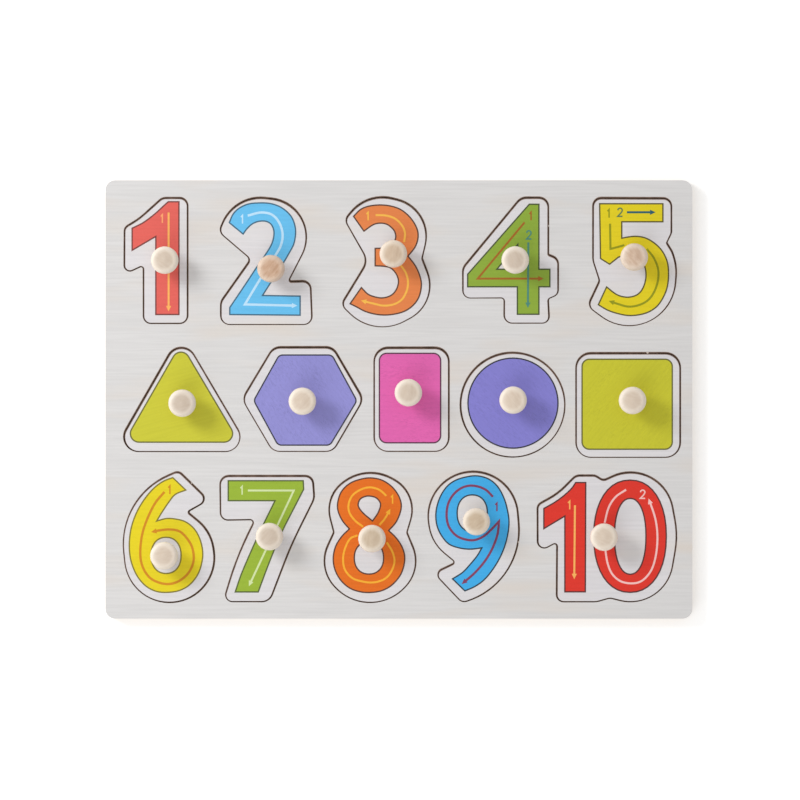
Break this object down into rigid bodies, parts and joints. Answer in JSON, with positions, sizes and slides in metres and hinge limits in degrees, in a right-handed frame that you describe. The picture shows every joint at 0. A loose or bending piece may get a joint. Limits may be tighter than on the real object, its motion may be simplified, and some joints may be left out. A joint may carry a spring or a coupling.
{
  "type": "peg puzzle",
  "caption": "Flat wooden board with loose number and shape pieces that lie flush in cut-outs and lift out by turned pegs.",
  "frame": {"origin": "middle of the underside of the board", "axes": "+X to the right along the board, +Y up the page, +Z out of the printed face"},
  "size_m": [0.3, 0.224, 0.02],
  "materials": {
    "board_sheet": "whitewashed plywood",
    "backing_sheet": "raw plywood",
    "piece_sheet": "whitewashed plywood, printed",
    "turned_peg": "turned, sanded"
  },
  "bodies": {
    "board": {"top_board": "board_sheet", "backing_board": "backing_sheet"},
    "one": {"piece_one": "piece_sheet", "peg_one": "turned_peg"},
    "two": {"piece_two": "piece_sheet", "peg_two": "turned_peg"},
    "three": {"piece_three": "piece_sheet", "peg_three": "turned_peg"},
    "four": {"piece_four": "piece_sheet", "peg_four": "turned_peg"},
    "five": {"piece_five": "piece_sheet", "peg_five": "turned_peg"},
    "six": {"piece_six": "piece_sheet", "peg_six": "turned_peg"},
    "seven": {"piece_seven": "piece_sheet", "peg_seven": "turned_peg"},
    "eight": {"piece_eight": "piece_sheet", "peg_eight": "turned_peg"},
    "nine": {"piece_nine": "piece_sheet", "peg_nine": "turned_peg"},
    "ten": {"piece_ten": "piece_sheet", "peg_ten": "turned_peg"},
    "triangle": {"piece_triangle": "piece_sheet", "peg_triangle": "turned_peg"},
    "hexagon": {"piece_hexagon": "piece_sheet", "peg_hexagon": "turned_peg"},
    "rectangle": {"piece_rectangle": "piece_sheet", "peg_rectangle": "turned_peg"},
    "circle": {"piece_circle": "piece_sheet", "peg_circle": "turned_peg"},
    "square": {"piece_square": "piece_sheet", "peg_square": "turned_peg"}
  },
  "joints": [
    {"name": "one_lift", "type": "slide", "parent": "board", "child": "one", "axis": [0, 0, 1], "range_m": [0, 0.03]},
    {"name": "two_lift", "type": "slide", "parent": "board", "child": "two", "axis": [0, 0, 1], "range_m": [0, 0.03]},
    {"name": "three_lift", "type": "slide", "parent": "board", "child": "three", "axis": [0, 0, 1], "range_m": [0, 0.03]},
    {"name": "four_lift", "type": "slide", "parent": "board", "child": "four", "axis": [0, 0, 1], "range_m": [0, 0.03]},
    {"name": "five_lift", "type": "slide", "parent": "board", "child": "five", "axis": [0, 0, 1], "range_m": [0, 0.03]},
    {"name": "six_lift", "type": "slide", "parent": "board", "child": "six", "axis": [0, 0, 1], "range_m": [0, 0.03]},
    {"name": "seven_lift", "type": "slide", "parent": "board", "child": "seven", "axis": [0, 0, 1], "range_m": [0, 0.03]},
    {"name": "eight_lift", "type": "slide", "parent": "board", "child": "eight", "axis": [0, 0, 1], "range_m": [0, 0.03]},
    {"name": "nine_lift", "type": "slide", "parent": "board", "child": "nine", "axis": [0, 0, 1], "range_m": [0, 0.03]},
    {"name": "ten_lift", "type": "slide", "parent": "board", "child": "ten", "axis": [0, 0, 1], "range_m": [0, 0.03]},
    {"name": "triangle_lift", "type": "slide", "parent": "board", "child": "triangle", "axis": [0, 0, 1], "range_m": [0, 0.03]},
    {"name": "hexagon_lift", "type": "slide", "parent": "board", "child": "hexagon", "axis": [0, 0, 1], "range_m": [0, 0.03]},
    {"name": "rectangle_lift", "type": "slide", "parent": "board", "child": "rectangle", "axis": [0, 0, 1], "range_m": [0, 0.03]},
    {"name": "circle_lift", "type": "slide", "parent": "board", "child": "circle", "axis": [0, 0, 1], "range_m": [0, 0.03]},
    {"name": "square_lift", "type": "slide", "parent": "board", "child": "square", "axis": [0, 0, 1], "range_m": [0, 0.03]}
  ]
}
